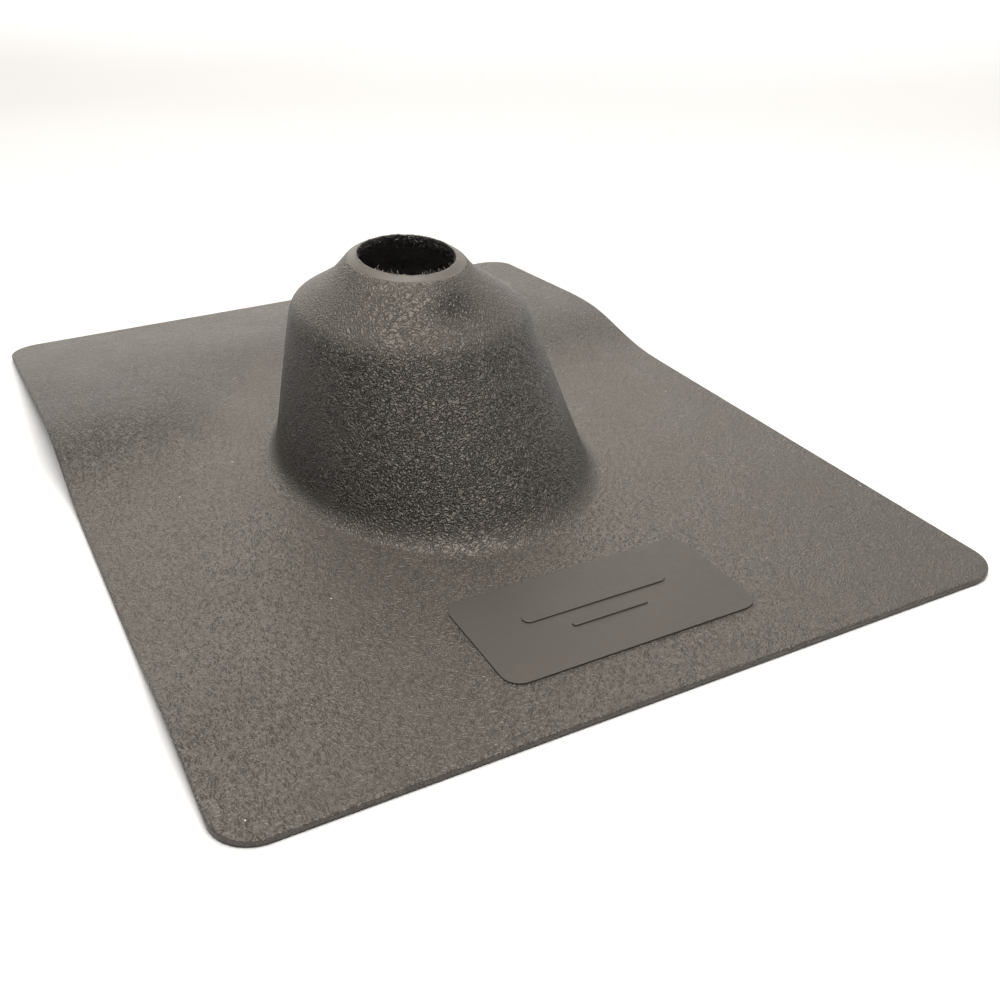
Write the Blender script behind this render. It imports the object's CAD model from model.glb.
"""Dressed scene of the pipe flashing boot: one rubber moulding on a pale studio floor.

The visible skin is one closed mesh of rings. They run from the flange's edge inwards, up the boot,
over the lip, down the bore, down the hollow and back out along the underside. Lengths are in
millimetres until make_mesh's callers turn them into metres.
"""

import math
import random

import bpy
import numpy as np
from mathutils import Matrix, Vector


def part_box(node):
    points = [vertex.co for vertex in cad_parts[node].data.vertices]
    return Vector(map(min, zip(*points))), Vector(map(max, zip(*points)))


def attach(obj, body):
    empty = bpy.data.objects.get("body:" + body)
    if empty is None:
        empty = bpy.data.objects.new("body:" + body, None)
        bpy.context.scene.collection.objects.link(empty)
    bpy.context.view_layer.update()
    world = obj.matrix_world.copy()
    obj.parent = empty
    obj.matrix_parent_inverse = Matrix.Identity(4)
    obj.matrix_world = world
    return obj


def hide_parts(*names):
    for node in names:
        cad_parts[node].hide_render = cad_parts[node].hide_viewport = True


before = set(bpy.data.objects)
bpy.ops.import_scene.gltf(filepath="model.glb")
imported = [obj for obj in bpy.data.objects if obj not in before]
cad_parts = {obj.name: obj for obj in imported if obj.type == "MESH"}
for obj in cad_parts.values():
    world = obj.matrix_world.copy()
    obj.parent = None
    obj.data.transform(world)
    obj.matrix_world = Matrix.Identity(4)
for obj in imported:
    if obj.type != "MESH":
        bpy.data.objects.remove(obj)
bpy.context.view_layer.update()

MM = 0.001
NODE = "flashing_boot"
LOW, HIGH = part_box(NODE)
HALF_W = (HIGH.x - LOW.x) / 2 / MM
HALF_L = (HIGH.y - LOW.y) / 2 / MM

# The moulding's own sizes, as the CAD part has them
THICK = 1.8
CORNER = 11.5
RIDGE_Y = (49.0, 74.0)
RIDGE_RISE = (10.8, 7.6)
RIDGE_RUN_UP = 46.0
BACK_RIGHT_LIFT = 2.4
WAVE_Y, WAVE_RISE, WAVE_HALF, WAVE_DEPTH = -114.0, 3.4, 42.0, 45.0
FLAT_TO, FREE_FROM = 1.30, 1.75
PITCH_ACROSS, PITCH_ALONG = 24.0, 16.0
CLEAR = 2.0
FOOT_Y, FOOT_W, FOOT_L, FLARE = -11.4, 51.3, 69.5, 4.8
SHOULDER, SHOULDER_R = np.array((0.6, 2.1, 51.4)), 39.7
SHOULDER_TIP, SHOULDER_ROUND = (3.6, 1.8), 4.1
NECK, NECK_R, NECK_ROUND = np.array((-1.2, 2.1, 62.3)), 24.0, 2.9
LIP, LIP_R, LIP_TIP = np.array((0.3, 1.9, 66.9)), 19.7, (6.2, 1.6)
LIP_RISE, LIP_ROUND, LEDGE = 1.5, 1.0, 0.8
BORE_R, BORE_LENGTH, WALL = 16.0, 4.0, 2.0
BORE_DEPTH = BORE_LENGTH - LIP_RISE
PLATE = dict(x=3.0, y=-117.9, length=78.6, width=40.6, rise=0.5, corner=5.5)
BAR = dict(rise=0.4, long=46.0, short=24.0, wide=4.2, narrow=2.0, gap=5.0, end_share=0.49)

# Sizes of the dressing
EDGE_ROUND = 0.5
UNDER_EDGE = 0.25
MOUTH_SHARE = 0.9
MOUTH_ROUND = 0.3
PLATE_BEVEL, BAR_BEVEL, BAR_SUNK = 0.12, 0.15, 0.2

# Fineness of the mesh: points around, and rings in each run of the skin
AROUND, PER_CORNER = 400, 16
FLARE_STEPS, WALL_STEPS, TURN_STEPS, NECK_STEPS, WAIST_STEPS = 10, 26, 12, 10, 7
THROAT_STEPS, RIM_STEPS, FACE_STEPS, BORE_RINGS = 5, 6, 5, 9
CEILING_STEPS, HOLLOW_TURN_STEPS, HOLLOW_STEPS = 6, 6, 14

# What a ring of the skin is
GRAINED, SMOOTH, BORE_WALL, HIDDEN = range(4)

rng = np.random.default_rng(7)
curls = random.Random(11)


# ---------------------------------------------------------------- shape of the sheet

def smooth(t):
    """Ease from 0 to 1 as t goes from 0 to 1, level at both ends."""
    t = np.clip(t, 0.0, 1.0)
    return t * t * (3.0 - 2.0 * t)


def across(pair, x):
    """Value at x between those at the left and the right edge."""
    return pair[0] + (pair[1] - pair[0]) * (x / (2 * HALF_W) + 0.5)


def ridge_height(x, y):
    """Ridge behind the boot: a smooth run up, then a straight fall to the back edge."""
    crest_y, crest = across(RIDGE_Y, x), across(RIDGE_RISE, x)
    back = BACK_RIGHT_LIFT * smooth(x / HALF_W)
    up = crest * smooth(1.0 - (crest_y - y) / RIDGE_RUN_UP)
    down = crest + (back - crest) * (y - crest_y) / (HALF_L - crest_y)
    return np.where(y < crest_y, up, down)


def pole_height(x, y):
    """Height of the sheet's pole: the ridge away from the boot's foot, and the wave in the left edge."""
    share = np.hypot(x / FOOT_W, (y - FOOT_Y) / FOOT_L)
    free = smooth((share - FLAT_TO) / (FREE_FROM - FLAT_TO))
    inward = smooth(1.0 - (x + HALF_W) / WAVE_DEPTH)
    wave = WAVE_RISE * inward * smooth(1.0 - abs(y - WAVE_Y) / WAVE_HALF)
    return np.maximum(ridge_height(x, y), 0.0) * free + wave


def knots_of(span, pitch):
    """Even knots across a span, and the mean places of their cubic poles."""
    count = round(span / pitch)
    knots = np.linspace(-span / 2, span / 2, count + 1)
    full = np.concatenate(([knots[0]] * 3, knots, [knots[-1]] * 3))
    places = np.array([full[i + 1:i + 4].mean() for i in range(count + 3)])
    return full, places


def basis(full, t):
    """Cubic B-spline weights of every pole at every t."""
    t = np.clip(t, full[0], full[-1] - 1e-9)[:, None]
    n = ((full[:-1] <= t) & (t < full[1:])).astype(float)
    for degree in (1, 2, 3):
        left = full[degree:-1] - full[:-degree - 1]
        right = full[degree + 1:] - full[1:-degree]
        a = np.divide(t - full[:-degree - 1], left, out=np.zeros((len(t), len(left))), where=left > 0)
        b = np.divide(full[degree + 1:] - t, right, out=np.zeros((len(t), len(right))), where=right > 0)
        n = a * n[:, :-1] + b * n[:, 1:]
    return n


X_KNOTS, X_PLACES = knots_of(2 * HALF_W + 2 * CLEAR, PITCH_ACROSS)
Y_KNOTS, Y_PLACES = knots_of(2 * HALF_L + 2 * CLEAR, PITCH_ALONG)
POLES = pole_height(X_PLACES[:, None], Y_PLACES[None, :])


def sheet_height(flat):
    """Height of the flange's underside at points of the plan."""
    return np.einsum("ni,ij,nj->n", basis(X_KNOTS, flat[:, 0]), POLES, basis(Y_KNOTS, flat[:, 1]))


# ---------------------------------------------------------------- outline of the flange

CORNERS = ((1, -1, -90), (1, 1, 0), (-1, 1, 90), (-1, -1, 180))


def outline():
    """Points round the flange, denser at its corners, and the outward direction at each."""
    straight_points = (AROUND - 4 * PER_CORNER) // 2
    along_y = round(straight_points * HALF_L / (HALF_W + HALF_L))
    counts = (along_y, straight_points - along_y) * 2
    points, outward = [], []
    for (sx, sy, start), count in zip(CORNERS, counts):
        centre = np.array((sx * (HALF_W - CORNER), sy * (HALF_L - CORNER)))
        for i in range(PER_CORNER):
            a = math.radians(start + 90 * i / (PER_CORNER - 1))
            out = np.array((math.cos(a), math.sin(a)))
            points.append(centre + out * CORNER)
            outward.append(out)
        first = points[-1]
        a = math.radians(start + 90)
        out = np.array((math.cos(a), math.sin(a)))
        along = np.array((-out[1], out[0]))
        reach = 2 * ((HALF_L if abs(out[0]) > 0.5 else HALF_W) - CORNER)
        for i in range(1, count + 1):
            points.append(first + along * reach * i / (count + 1))
            outward.append(out)
    return np.array(points), np.array(outward)


EDGE, EDGE_OUT = outline()
N = len(EDGE)
DIRECTION = np.stack((EDGE[:, 0] / FOOT_W, (EDGE[:, 1] - FOOT_Y) / FOOT_L), 1)
DIRECTION /= np.linalg.norm(DIRECTION, axis=1)[:, None]
COS, SIN = DIRECTION[:, 0], DIRECTION[:, 1]
ANGLE = np.arctan2(SIN, COS)


# ---------------------------------------------------------------- rings of the boot

def tipped(front, side):
    """Turn that lowers the front and the right side of a level ring."""
    f, r = math.radians(front), math.radians(side)
    rx = np.array(((1, 0, 0), (0, math.cos(f), -math.sin(f)), (0, math.sin(f), math.cos(f))))
    ry = np.array(((math.cos(r), 0, math.sin(r)), (0, 1, 0), (-math.sin(r), 0, math.cos(r))))
    return rx @ ry


TIP = tipped(*LIP_TIP)
AXIS = TIP[:, 2]


def ring(centre, half_x, half_y, turn=np.eye(3)):
    """Ellipse as its centre and its two half axes."""
    return np.array((centre, turn @ (half_x, 0, 0), turn @ (0, half_y, 0)), float)


def points_of(r):
    return r[0] + COS[:, None] * r[1] + SIN[:, None] * r[2]


def lip_ring(radius, depth=0.0):
    """Ring about the bore's axis, some depth below the lip's rim."""
    return ring(LIP - AXIS * depth, radius, radius, TIP)


def wall_ring(height, offset=0.0):
    """Ring of the boot's wall at a height, moved in by an offset through the wall."""
    def inward(run):
        return offset * math.hypot(run, SHOULDER[2]) / SHOULDER[2]

    low = ring((0, FOOT_Y, 0), FOOT_W, FOOT_L)
    high = ring(SHOULDER, SHOULDER_R, SHOULDER_R, tipped(*SHOULDER_TIP))
    centre, a, b = low + (high - low) * height / SHOULDER[2]
    side = inward(FOOT_W - SHOULDER_R)
    front = inward(FOOT_L - SHOULDER_R + SHOULDER[1] - FOOT_Y)
    back = inward(FOOT_L - SHOULDER_R - SHOULDER[1] + FOOT_Y)
    return np.array((centre + (0, (front - back) / 2, 0), a * (1 - side / np.linalg.norm(a)),
                     b * (1 - (front + back) / 2 / np.linalg.norm(b))))


def span(a, b):
    """Slant length from one ring to the next, at the side where both axes add up."""
    return np.linalg.norm(b[0] + b[1] - a[0] - a[1])


def rounding(before, corner, after, length):
    """Start, corner and end ring of a rounded corner."""
    start = corner + (before - corner) * length / span(before, corner)
    end = corner + (after - corner) * length / span(corner, after)
    return start, corner, end


def curved(start, corner, end, steps):
    """Rings along a rounded corner."""
    return [start * (1 - t) ** 2 + corner * 2 * t * (1 - t) + end * t * t
            for t in np.linspace(0, 1, steps + 1)]


def straight(a, b, steps):
    """Rings along a straight run."""
    return [a + (b - a) * t for t in np.linspace(0, 1, steps + 1)]


def chain(*runs):
    """Runs of rings joined end to end, each shared ring kept once."""
    rings = list(runs[0])
    for run in runs[1:]:
        rings += run[1:]
    return rings


foot = wall_ring(THICK)
skirt = ring(foot[0] - (0, 0, THICK / 4), foot[1][0] + FLARE, foot[2][1] + FLARE)
shoulder = wall_ring(SHOULDER[2])
neck = ring(NECK, NECK_R, NECK_R)
lip = lip_ring(LIP_R)
mouth = lip_ring(BORE_R, -LIP_RISE)
mouth_edge = lip + (mouth - lip) * MOUTH_SHARE

flare = (skirt, foot, foot + (shoulder - foot) * FLARE / span(foot, shoulder))
turn = rounding(foot, shoulder, neck, SHOULDER_ROUND)
waist = rounding(shoulder, neck, lip, NECK_ROUND)
rim = rounding(neck, lip, mouth, LIP_ROUND)
OUTSIDE = chain(curved(*flare, FLARE_STEPS), straight(flare[2], turn[0], WALL_STEPS),
                curved(*turn, TURN_STEPS), straight(turn[2], waist[0], NECK_STEPS),
                curved(*waist, WAIST_STEPS), straight(waist[2], rim[0], THROAT_STEPS),
                curved(*rim, RIM_STEPS), straight(rim[2], mouth_edge, FACE_STEPS))

BORE_DEPTHS = np.linspace(MOUTH_ROUND - LIP_RISE, BORE_DEPTH, BORE_RINGS)
BORE = [lip_ring(BORE_R, d) for d in BORE_DEPTHS]

neck_slope = math.atan2(NECK[2] - SHOULDER[2], SHOULDER_R - NECK_R)
ceiling = lip_ring(BORE_R + LEDGE, BORE_DEPTH)
under = wall_ring(0, WALL)
hollow_shoulder = wall_ring(SHOULDER[2] - WALL / math.cos(neck_slope / 2), WALL)
hollow_turn = rounding(under, hollow_shoulder, ceiling, SHOULDER_ROUND)
HOLLOW = chain(straight(ceiling, hollow_turn[2], CEILING_STEPS),
               curved(*hollow_turn[::-1], HOLLOW_TURN_STEPS),
               straight(hollow_turn[0], under, HOLLOW_STEPS))


# ---------------------------------------------------------------- the closed skin

def flat_to(flat, z):
    """Points of the plan at one height, or each at its own."""
    return np.column_stack((flat, np.full(len(flat), z) if np.isscalar(z) else z))


def sheet_ring(share, inner, surface):
    """Ring of the flange, share of the way from its edge to the inner ring."""
    flat = EDGE + (inner - EDGE) * share
    return flat_to(flat, sheet_height(flat) + surface)


skin, kinds = [], []


def lay(points, kind):
    skin.append(points)
    kinds.append(kind)


# Rounded upper edge of the flange
edge_height = sheet_height(EDGE)
for degrees in np.linspace(0, 90, 5):
    back_in = EDGE_ROUND * (1 - math.cos(math.radians(degrees)))
    drop = EDGE_ROUND * (1 - math.sin(math.radians(degrees)))
    lay(flat_to(EDGE - EDGE_OUT * back_in, edge_height + THICK - drop), GRAINED)

# Top of the flange: close rings by the edge, then even ones
skirt_flat = points_of(OUTSIDE[1])[:, :2]
for share in np.concatenate((np.linspace(EDGE_ROUND / 30, 0.06, 3), np.linspace(0.085, 0.975, 38))):
    lay(sheet_ring(share, skirt_flat, THICK), GRAINED)

# Boot, neck and lip. The lowest rings follow the sheet.
FOLLOWS_SHEET = 6.0
turn_from = len(skin) - 1 + FLARE_STEPS + WALL_STEPS
for r in OUTSIDE[1:]:
    p = points_of(r)
    rise = sheet_height(p)
    fade = np.clip(1 - (p[:, 2] - THICK) / FOLLOWS_SHEET, 0, 1)
    p[:, 2] = np.maximum(p[:, 2], THICK + 0.01) + rise * fade
    lay(p, GRAINED)
lip_from = len(skin) - 1 - FACE_STEPS
kinds[lip_from:] = [SMOOTH] * (len(skin) - lip_from)

# Bore, hollow and underside, and back to the edge
for r in BORE:
    lay(points_of(r), BORE_WALL)
for r in HOLLOW:
    lay(points_of(r), HIDDEN)
hollow_edge = points_of(HOLLOW[-1])[:, :2]
for share in np.linspace(0.02, 0.99, 26)[::-1]:
    lay(sheet_ring(share, hollow_edge, 0.0), HIDDEN)
lay(flat_to(EDGE - EDGE_OUT * UNDER_EDGE, edge_height), HIDDEN)
lay(flat_to(EDGE, edge_height + UNDER_EDGE), GRAINED)

SKIN = np.array(skin)
KINDS = np.array(kinds)
RINGS = len(SKIN)


# ---------------------------------------------------------------- dents and the torn lip

# Shallow dent in the neck and a slight swelling of the shoulder: push outwards, centre and reach
DENTS = ((-1.5, (2.0, -29.7, 56.0), (7.0, 7.0, 4.5)),
         (0.25, (37.0, -8.0, 51.5), (6.0, 9.0, 4.0)))
# Uneven waves around the boot: their number and phase
WAVES = ((2, 0.3), (3, 0.8), (5, 1.7))
WAVE_HEIGHT = 0.12
# Darker patch on the neck
SMUDGE = ((4.5, -25.0, 60.0), (6.5, 9.0, 6.0))


def bump_at(points, centre, radii):
    """Soft bump from 1 at its centre to 0."""
    d = ((points - np.array(centre)) / np.array(radii)) ** 2
    return np.exp(-d.sum(-1))


on_boot = (SKIN[..., 2] > THICK + 0.3) & (KINDS[:, None] == GRAINED)
out = SKIN - SHOULDER
out[..., 2] = 0
out /= np.maximum(np.linalg.norm(out, axis=-1, keepdims=True), 1e-6)
push = np.zeros(SKIN.shape[:2])
for depth, centre, reach in DENTS:
    push += depth * bump_at(SKIN, centre, reach)
waves = sum(math.cos(p) * np.cos(k * ANGLE + 2 * math.pi * p) for k, p in WAVES)
push += WAVE_HEIGHT * waves[None, :] * smooth((SKIN[..., 2] - 12) / 20)
SKIN += out * (push * on_boot)[..., None]

# The bore was trimmed by hand: its edge wanders, tears and stands up at the back
grit = rng.normal(size=(6, N))


def rough(row, width):
    """Noise around the ring, smoothed over a width and kept as strong."""
    kernel = np.hanning(width * 2 + 1)
    kernel /= np.sqrt((kernel ** 2).sum())
    padded = np.concatenate((row[-width:], row, row[:width]))
    return np.convolve(padded, kernel, "valid")


radial = points_of(lip_ring(1.0)) - LIP
front_share = 0.5 - 0.5 * SIN
back_share = smooth(0.55 + 0.9 * SIN)
edge_in = 0.10 * rough(grit[0], 7) + 0.10 * rough(grit[1], 1)
edge_up = 0.05 * rough(grit[2], 4) + 0.05 * rough(grit[3], 1) + 0.35 * back_share
first_bore = kinds.index(BORE_WALL)
for step, (fall_in, fall_up) in enumerate(((1.0, 1.0), (1.0, 0.8), (0.8, 0.3), (0.5, 0.0))):
    shift = fall_in * (0.32 * back_share - np.abs(edge_in) * (0.35 + 0.65 * front_share))
    SKIN[first_bore - 1 + step] += radial * shift[:, None] + AXIS * (edge_up * fall_up)[:, None]
for j in range(3, BORE_RINGS):
    score = rough(grit[4], 2) * 0.10 + rough(np.roll(grit[5], 3 * j), 3) * 0.07
    SKIN[first_bore + j] += radial * (score * (0.4 + 0.6 * back_share) - 0.05)[:, None]


# ---------------------------------------------------------------- meshes

def make_mesh(name, vertices, faces, values=None):
    """Smooth-shaded object, with float values at its vertices."""
    mesh = bpy.data.meshes.new(name)
    mesh.from_pydata([tuple(v) for v in vertices], [], faces)
    mesh.validate()
    mesh.polygons.foreach_set("use_smooth", [True] * len(mesh.polygons))
    for key, data in (values or {}).items():
        layer = mesh.attributes.new(key, "FLOAT", "POINT")
        layer.data.foreach_set("value", np.asarray(data, np.float32))
    mesh.update()
    obj = bpy.data.objects.new(name, mesh)
    bpy.context.scene.collection.objects.link(obj)
    return obj


def ring_faces(rings, around, closed_tube):
    """Quads between rings of points, and from the last ring to the first where the tube closes."""
    faces = []
    for k in range(rings if closed_tube else rings - 1):
        k2 = (k + 1) % rings
        for i in range(around):
            j = (i + 1) % around
            faces.append((k * around + i, k * around + j, k2 * around + j, k2 * around + i))
    return faces


# Flash left at the bore's edge: thin tapering shreds that curl up from the mouth
FRONT_CURLS, BACK_CURLS = 26, 12
CURL_STEPS = 5
CURL_SECTION = ((1, 0), (0, 0.6), (-1, 0), (0, -0.6))


def add_curl(vertices, faces, degrees):
    back = degrees > 0
    a = math.radians(degrees)
    outward = TIP @ np.array((math.cos(a), math.sin(a), 0.0))
    side = TIP @ np.array((-math.sin(a), math.cos(a), 0.0))
    start = LIP + outward * (BORE_R + (0.25 if back else 0.1)) + AXIS * (LIP_RISE - (0.5 if back else 0.22))
    length = curls.uniform(0.7, 1.9) * (0.7 if back else 1.0)
    lean = curls.uniform(-0.8, 0.8)
    lift = curls.uniform(0.15, 0.75) * (0.2 if back else 1.0)
    bend = curls.uniform(-0.7, 0.7)
    width = curls.uniform(0.12, 0.26)
    first = len(vertices)
    for s in range(CURL_STEPS + 1):
        t = s / CURL_STEPS
        centre = (start - outward * length * t * (1 - 0.35 * t)
                  + side * length * (lean * t + bend * t * t)
                  + AXIS * length * lift * math.sin(t * 2.2))
        w = width * (1 - 0.8 * t)
        vertices += [centre + side * w * cx + AXIS * w * cz for cx, cz in CURL_SECTION]
    count = len(CURL_SECTION)
    faces += [tuple(first + i for i in face) for face in ring_faces(CURL_STEPS + 1, count, False)]
    faces.append(tuple(first + c for c in reversed(range(count))))
    faces.append(tuple(first + CURL_STEPS * count + c for c in range(count)))


curl_vertices, curl_faces = [], []
curl_places = ([curls.uniform(-155, -25) for _ in range(FRONT_CURLS)]
               + [curls.uniform(20, 160) for _ in range(BACK_CURLS)])
for place in curl_places:
    add_curl(curl_vertices, curl_faces, place)

# Masks for the material: each value is kept at the skin's vertices
lip_mask = np.zeros(RINGS)
lip_mask[lip_from:first_bore] = 1.0
lip_mask[lip_from - 3:lip_from] = (0.1, 0.45, 0.9)
# The wall's grain is deep, the neck's and the flange's shallow
past_turn = np.clip((np.arange(RINGS) - turn_from) / TURN_STEPS, 0, 1)
flank = smooth((SKIN[..., 2] - THICK - 0.8) / 8.0) * (1 - smooth(past_turn))[:, None]
flank *= (KINDS < BORE_WALL)[:, None]
smudge = bump_at(SKIN, *SMUDGE) * (1 - lip_mask)[:, None]


def over_skin(data, on_curls=0.0):
    """A ring's or a vertex's values over the whole skin, and one value on the curls."""
    data = data.ravel() if data.ndim > 1 else np.repeat(data, N)
    return np.concatenate((data, np.full(len(curl_vertices), on_curls)))


skin_vertices = np.vstack((SKIN.reshape(-1, 3) * MM, np.array(curl_vertices) * MM))
skin_faces = ring_faces(RINGS, N, True) + [tuple(RINGS * N + i for i in f) for f in curl_faces]
skin_obj = make_mesh("flashing_boot_skin", skin_vertices, skin_faces, {
    "lip": over_skin(lip_mask, 0.55),
    "bore": over_skin((KINDS == BORE_WALL) * 1.0),
    "hidden": over_skin((KINDS == HIDDEN) * 1.0),
    "flank": over_skin(flank),
    "smudge": over_skin(smudge)})


def rounded_outline(x, y, length, width, corner, per=10):
    points = []
    for sx, sy, start in CORNERS:
        for i in range(per + 1):
            a = math.radians(start + 90 * i / per)
            points.append((x + sx * (length / 2 - corner) + corner * math.cos(a),
                           y + sy * (width / 2 - corner) + corner * math.sin(a)))
    return np.array(points)


def pad(name, x, y, length, width, corner, bottom, top, bevel):
    """Low raised pad with a small rounded edge, its foot sunk in what carries it."""
    levels = []
    for inset, z in ((0, bottom), (0, top - bevel), (bevel * 0.3, top - bevel * 0.3), (bevel, top)):
        flat = rounded_outline(x, y, length - 2 * inset, width - 2 * inset, max(corner - inset, 0.05))
        levels.append(flat_to(flat, z))
    count = len(levels[0])
    faces = ring_faces(len(levels), count, False)
    faces.append(tuple(reversed(range(count))))
    faces.append(tuple(range((len(levels) - 1) * count, len(levels) * count)))
    obj = make_mesh(name, np.vstack(levels) * MM, faces)
    obj.data.polygons[-1].use_smooth = False
    obj.data.polygons[-2].use_smooth = False
    return obj


plate_top = THICK + PLATE["rise"]
plate = pad("maker_plate_blank", PLATE["x"], PLATE["y"], PLATE["length"], PLATE["width"], PLATE["corner"],
            THICK / 2, plate_top, PLATE_BEVEL)
upper_y = PLATE["y"] + (BAR["gap"] + BAR["narrow"]) / 2
lower_y = upper_y - BAR["wide"] / 2 - BAR["gap"] - BAR["narrow"] / 2
bars = [pad(name, PLATE["x"], y, length, width, width * BAR["end_share"],
            plate_top - BAR_SUNK, plate_top + BAR["rise"], BAR_BEVEL)
        for name, y, length, width in (("plate_bar_upper", upper_y, BAR["long"], BAR["wide"]),
                                       ("plate_bar_lower", lower_y, BAR["short"], BAR["narrow"]))]


# ---------------------------------------------------------------- materials

class Nodes:
    """Small helper that adds shader nodes and links them."""

    def __init__(self, name):
        self.material = bpy.data.materials.new(name)
        self.material.use_nodes = True
        self.tree = self.material.node_tree
        self.shader = self.tree.nodes["Principled BSDF"]

    def add(self, kind, inputs=(), **settings):
        node = self.tree.nodes.new(kind)
        for key, value in settings.items():
            setattr(node, key, value)
        for key, value in dict(inputs).items():
            self.put(node.inputs[key], value)
        return node

    def put(self, socket, value):
        if isinstance(value, bpy.types.NodeSocket):
            self.tree.links.new(value, socket)
        else:
            socket.default_value = value

    def surface(self, **values):
        """Set or link inputs of the shader, with _ in place of each space in a name."""
        for key, value in values.items():
            self.put(self.shader.inputs[key.replace("_", " ")], value)

    def math(self, operation, a, b=0.0, clamp=False):
        return self.add("ShaderNodeMath", {0: a, 1: b}, operation=operation, use_clamp=clamp).outputs[0]

    def times(self, a, b):
        return self.math("MULTIPLY", a, b)

    def plus(self, a, b):
        return self.math("ADD", a, b)

    def tint(self, shade, tone):
        """A colour made lighter or darker by a tone."""
        return self.add("ShaderNodeVectorMath", {0: shade, 1: tone}, operation="MULTIPLY").outputs[0]

    def ramp(self, value, low, high, to_low=0.0, to_high=1.0):
        return self.add("ShaderNodeMapRange", {"Value": value, "From Min": low, "From Max": high,
                                               "To Min": to_low, "To Max": to_high},
                        interpolation_type="SMOOTHSTEP").outputs["Result"]

    def mix(self, share, a, b):
        node = self.add("ShaderNodeMix", data_type="RGBA")
        self.put(node.inputs["Factor"], share)
        self.put(node.inputs["A"], a)
        self.put(node.inputs["B"], b)
        return node.outputs["Result"]

    def place(self):
        return self.add("ShaderNodeTexCoord").outputs["Object"]

    def noise(self, scale, detail=2.0, roughness=0.5, distortion=0.0):
        node = self.add("ShaderNodeTexNoise", {"Vector": self.place(), "Scale": scale, "Detail": detail,
                                               "Roughness": roughness, "Distortion": distortion})
        return node.outputs["Fac"]

    def bump(self, height, distance, strength=1.0):
        node = self.add("ShaderNodeBump", {"Strength": strength, "Distance": distance, "Height": height})
        return node.outputs["Normal"]

    def attribute(self, name):
        return self.add("ShaderNodeAttribute", attribute_name=name).outputs["Fac"]


def colour(r, g, b):
    return (r, g, b, 1.0)


RUBBER = colour(0.071, 0.0625, 0.054)
LIP_TONE = colour(0.100, 0.092, 0.083)
PLATE_TONE = (0.044, 0.039, 0.034)
DEEP = colour(0.012, 0.012, 0.012)
DUST = colour(0.75, 0.73, 0.70)
GLOSS = {"IOR": 1.5, "Specular_IOR_Level": 0.75, "Specular_Tint": colour(1.0, 0.93, 0.86)}

# Grain: noise cells per metre, winding ridges in a cell's range, and metres of relief
GRAIN_CELLS, GRAIN_BANDS, GRAIN_RELIEF = 630.0, 4.0, 0.00027
SPECK_CELLS, SPECK_SIZE, SPECK_CHANCE = 85.0, 0.022, 0.45


def rubber_material():
    m = Nodes("black_rubber_grained")
    lip_, bore_, hidden_, flank_, smudge_ = (
        m.attribute(n) for n in ("lip", "bore", "hidden", "flank", "smudge"))
    # Worm-like grain: winding ridges along the level lines of a smooth noise
    levels = m.math("SINE", m.times(m.noise(GRAIN_CELLS, 0.0, 0.5, 0.6), 2 * math.pi * GRAIN_BANDS))
    worms = m.plus(0.5, m.times(levels, 0.5))
    fine = m.noise(1500.0, 1.0, 0.5, 0.4)
    strength = m.plus(0.9, m.times(flank_, 0.4))
    relief = m.plus(m.times(worms, 0.7), m.times(fine, 0.6))
    grain = m.times(relief, strength)
    kept = m.math("SUBTRACT", 1.0, m.math("MAXIMUM", lip_, m.times(hidden_, 0.4)))
    satin = m.times(m.noise(900.0, 2.0), m.times(lip_, 0.10))
    height = m.plus(m.times(grain, kept), satin)

    # Tone: clouds and patches, the grain's valleys darker, and the smudge on the neck
    cloud = m.noise(9.0, 3.0, 0.55)
    patch = m.noise(38.0, 3.0, 0.6)
    shade = m.plus(m.ramp(cloud, 0.3, 0.7, 0.93, 1.07),
                   m.math("SUBTRACT", m.ramp(patch, 0.3, 0.7, 0.0, 0.08), 0.04))
    valleys = m.times(m.plus(0.25, m.times(flank_, 0.95)), kept)
    pits = m.math("SUBTRACT", 1.0, m.times(valleys, m.math("SUBTRACT", 1.1, relief)), clamp=True)
    tone = m.times(m.times(shade, pits), m.math("SUBTRACT", 1.0, m.times(smudge_, 0.8)))
    rubber_tone = m.tint(m.mix(lip_, RUBBER, LIP_TONE), tone)

    # Dust: a few pale specks, one in some cells only
    cells = m.add("ShaderNodeTexVoronoi", {"Vector": m.place(), "Scale": SPECK_CELLS, "Randomness": 1.0})
    speck = m.math("LESS_THAN", cells.outputs["Distance"], SPECK_SIZE)
    pick = m.add("ShaderNodeSeparateColor", {0: cells.outputs["Color"]}).outputs[0]
    chosen = m.math("GREATER_THAN", pick, SPECK_CHANCE)
    dusty = m.mix(m.times(speck, m.times(chosen, 0.75)), rubber_tone, DUST)

    torn = m.math("MAXIMUM", bore_, m.times(hidden_, 0.75))
    m.surface(Base_Color=m.mix(torn, dusty, DEEP), Normal=m.bump(height, GRAIN_RELIEF),
              Roughness=m.plus(m.ramp(patch, 0.3, 0.7, 0.42, 0.50), m.times(lip_, 0.05)), **GLOSS)
    return m.material


def plate_material():
    m = Nodes("black_rubber_smooth")
    cloud = m.noise(60.0, 3.0, 0.55)
    wipe = m.noise(700.0, 2.0, 0.5)
    m.surface(Base_Color=m.tint(PLATE_TONE, m.ramp(cloud, 0.3, 0.7, 0.95, 1.05)),
              Roughness=m.ramp(wipe, 0.3, 0.7, 0.50, 0.56), Normal=m.bump(wipe, 0.00005, 0.25), **GLOSS)
    return m.material


rubber = rubber_material()
smooth_rubber = plate_material()
skin_obj.data.materials.append(rubber)
for obj in [plate] + bars:
    obj.data.materials.append(smooth_rubber)
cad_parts[NODE].data.materials.clear()
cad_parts[NODE].data.materials.append(rubber)

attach(skin_obj, "root")
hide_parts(NODE)
for obj in [plate] + bars:
    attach(obj, "root")


# ---------------------------------------------------------------- floor, light and camera
# From here on lengths are in metres

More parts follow.
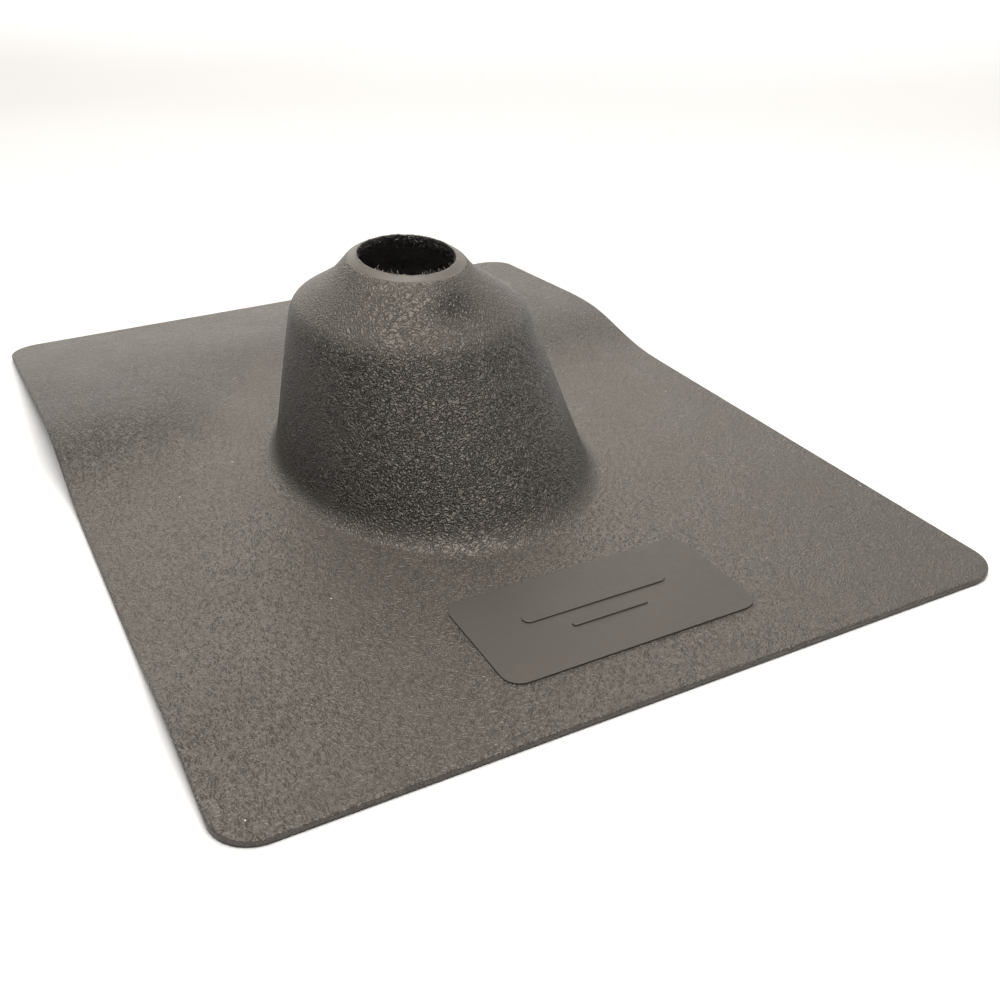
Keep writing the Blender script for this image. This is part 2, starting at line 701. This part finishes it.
FLOOR_RADIUS, FLOOR_RISE, FLOOR_DROP = 6.0, 2.4, 0.0002
FLOOR_AROUND = 96
# The floor's profile as shares of its radius and of its rise
FLOOR_PROFILE = ((0.5, 0.0), (0.8, 0.0), (0.9, 0.1), (0.97, 0.35), (1.0, 1.0))


def floor_disc():
    """Studio floor that turns up far behind the part on every side."""
    turns = [2 * math.pi * i / FLOOR_AROUND for i in range(FLOOR_AROUND)]
    vertices = [(FLOOR_RADIUS * r * math.cos(a), FLOOR_RADIUS * r * math.sin(a), FLOOR_RISE * z)
                for r, z in FLOOR_PROFILE for a in turns]
    faces = [tuple(reversed(f)) for f in ring_faces(len(FLOOR_PROFILE), FLOOR_AROUND, False)]
    faces.append(tuple(range(FLOOR_AROUND)))
    return make_mesh("studio_floor", vertices, faces)


def floor_material():
    m = Nodes("studio_floor_white")
    # A lit backdrop: the floor glows from half a metre behind the part, so that it stays white
    behind = m.add("ShaderNodeVectorMath", {0: m.place(), 1: (0.6, 0.8, 0.0)},
                   operation="DOT_PRODUCT").outputs["Value"]
    m.surface(Base_Color=m.mix(m.ramp(m.noise(3.0, 2.0), 0.3, 0.7),
                               colour(0.78, 0.78, 0.78), colour(0.80, 0.80, 0.80)),
              Emission_Strength=m.ramp(behind, 0.5, 1.4, 0.0, 0.5),
              Emission_Color=colour(1.0, 1.0, 1.0), Roughness=0.9, Specular_IOR_Level=0.2)
    return m.material


floor = floor_disc()
floor.location.z = -FLOOR_DROP
floor.data.materials.append(floor_material())


def area_light(name, place, size, power, tint):
    """Softbox that faces the boot's foot."""
    light = bpy.data.lights.new(name, "AREA")
    light.shape = "RECTANGLE"
    light.size, light.size_y = size
    light.energy = power
    light.color = tint
    obj = bpy.data.objects.new(name, light)
    obj.location = place
    aim = Vector((0, 0, 0.03))
    obj.rotation_euler = (aim - Vector(place)).to_track_quat("-Z", "Y").to_euler()
    bpy.context.scene.collection.objects.link(obj)


area_light("softbox_top", (0.0, -0.15, 1.3), (1.0, 1.0), 25.0, (1.0, 0.97, 0.93))
area_light("softbox_back", (0.8, 2.5, 1.25), (3.2, 1.8), 35.0, (1.0, 0.94, 0.86))

world = bpy.data.worlds.new("studio_air")
world.use_nodes = True
world.node_tree.nodes["Background"].inputs["Color"].default_value = colour(0.96, 0.98, 1.0)
world.node_tree.nodes["Background"].inputs["Strength"].default_value = 0.15
bpy.context.scene.world = world
bpy.context.scene.view_settings.view_transform = "Standard"

CAMERA_AT = (-0.1439, -0.3395, 0.1868)
PITCH, YAW, ROLL = math.radians(29.75), math.radians(-27.53), math.radians(-0.39)
LENS, SENSOR = 41.83, 36.0

forward = Vector((-math.sin(YAW) * math.cos(PITCH), math.cos(YAW) * math.cos(PITCH), -math.sin(PITCH)))
level = Vector((math.cos(YAW), math.sin(YAW), 0.0))
upward = level.cross(forward)
right = math.cos(ROLL) * level + math.sin(ROLL) * upward
upright = -math.sin(ROLL) * level + math.cos(ROLL) * upward
camera = bpy.data.cameras.new("camera")
camera.lens = LENS
camera.sensor_width = SENSOR
camera.clip_start, camera.clip_end = 0.01, 50.0
cam = bpy.data.objects.new("camera", camera)
cam.matrix_world = Matrix([(right[i], upright[i], -forward[i], CAMERA_AT[i]) for i in range(3)]
                          + [(0, 0, 0, 1)])
bpy.context.scene.collection.objects.link(cam)
bpy.context.scene.camera = cam
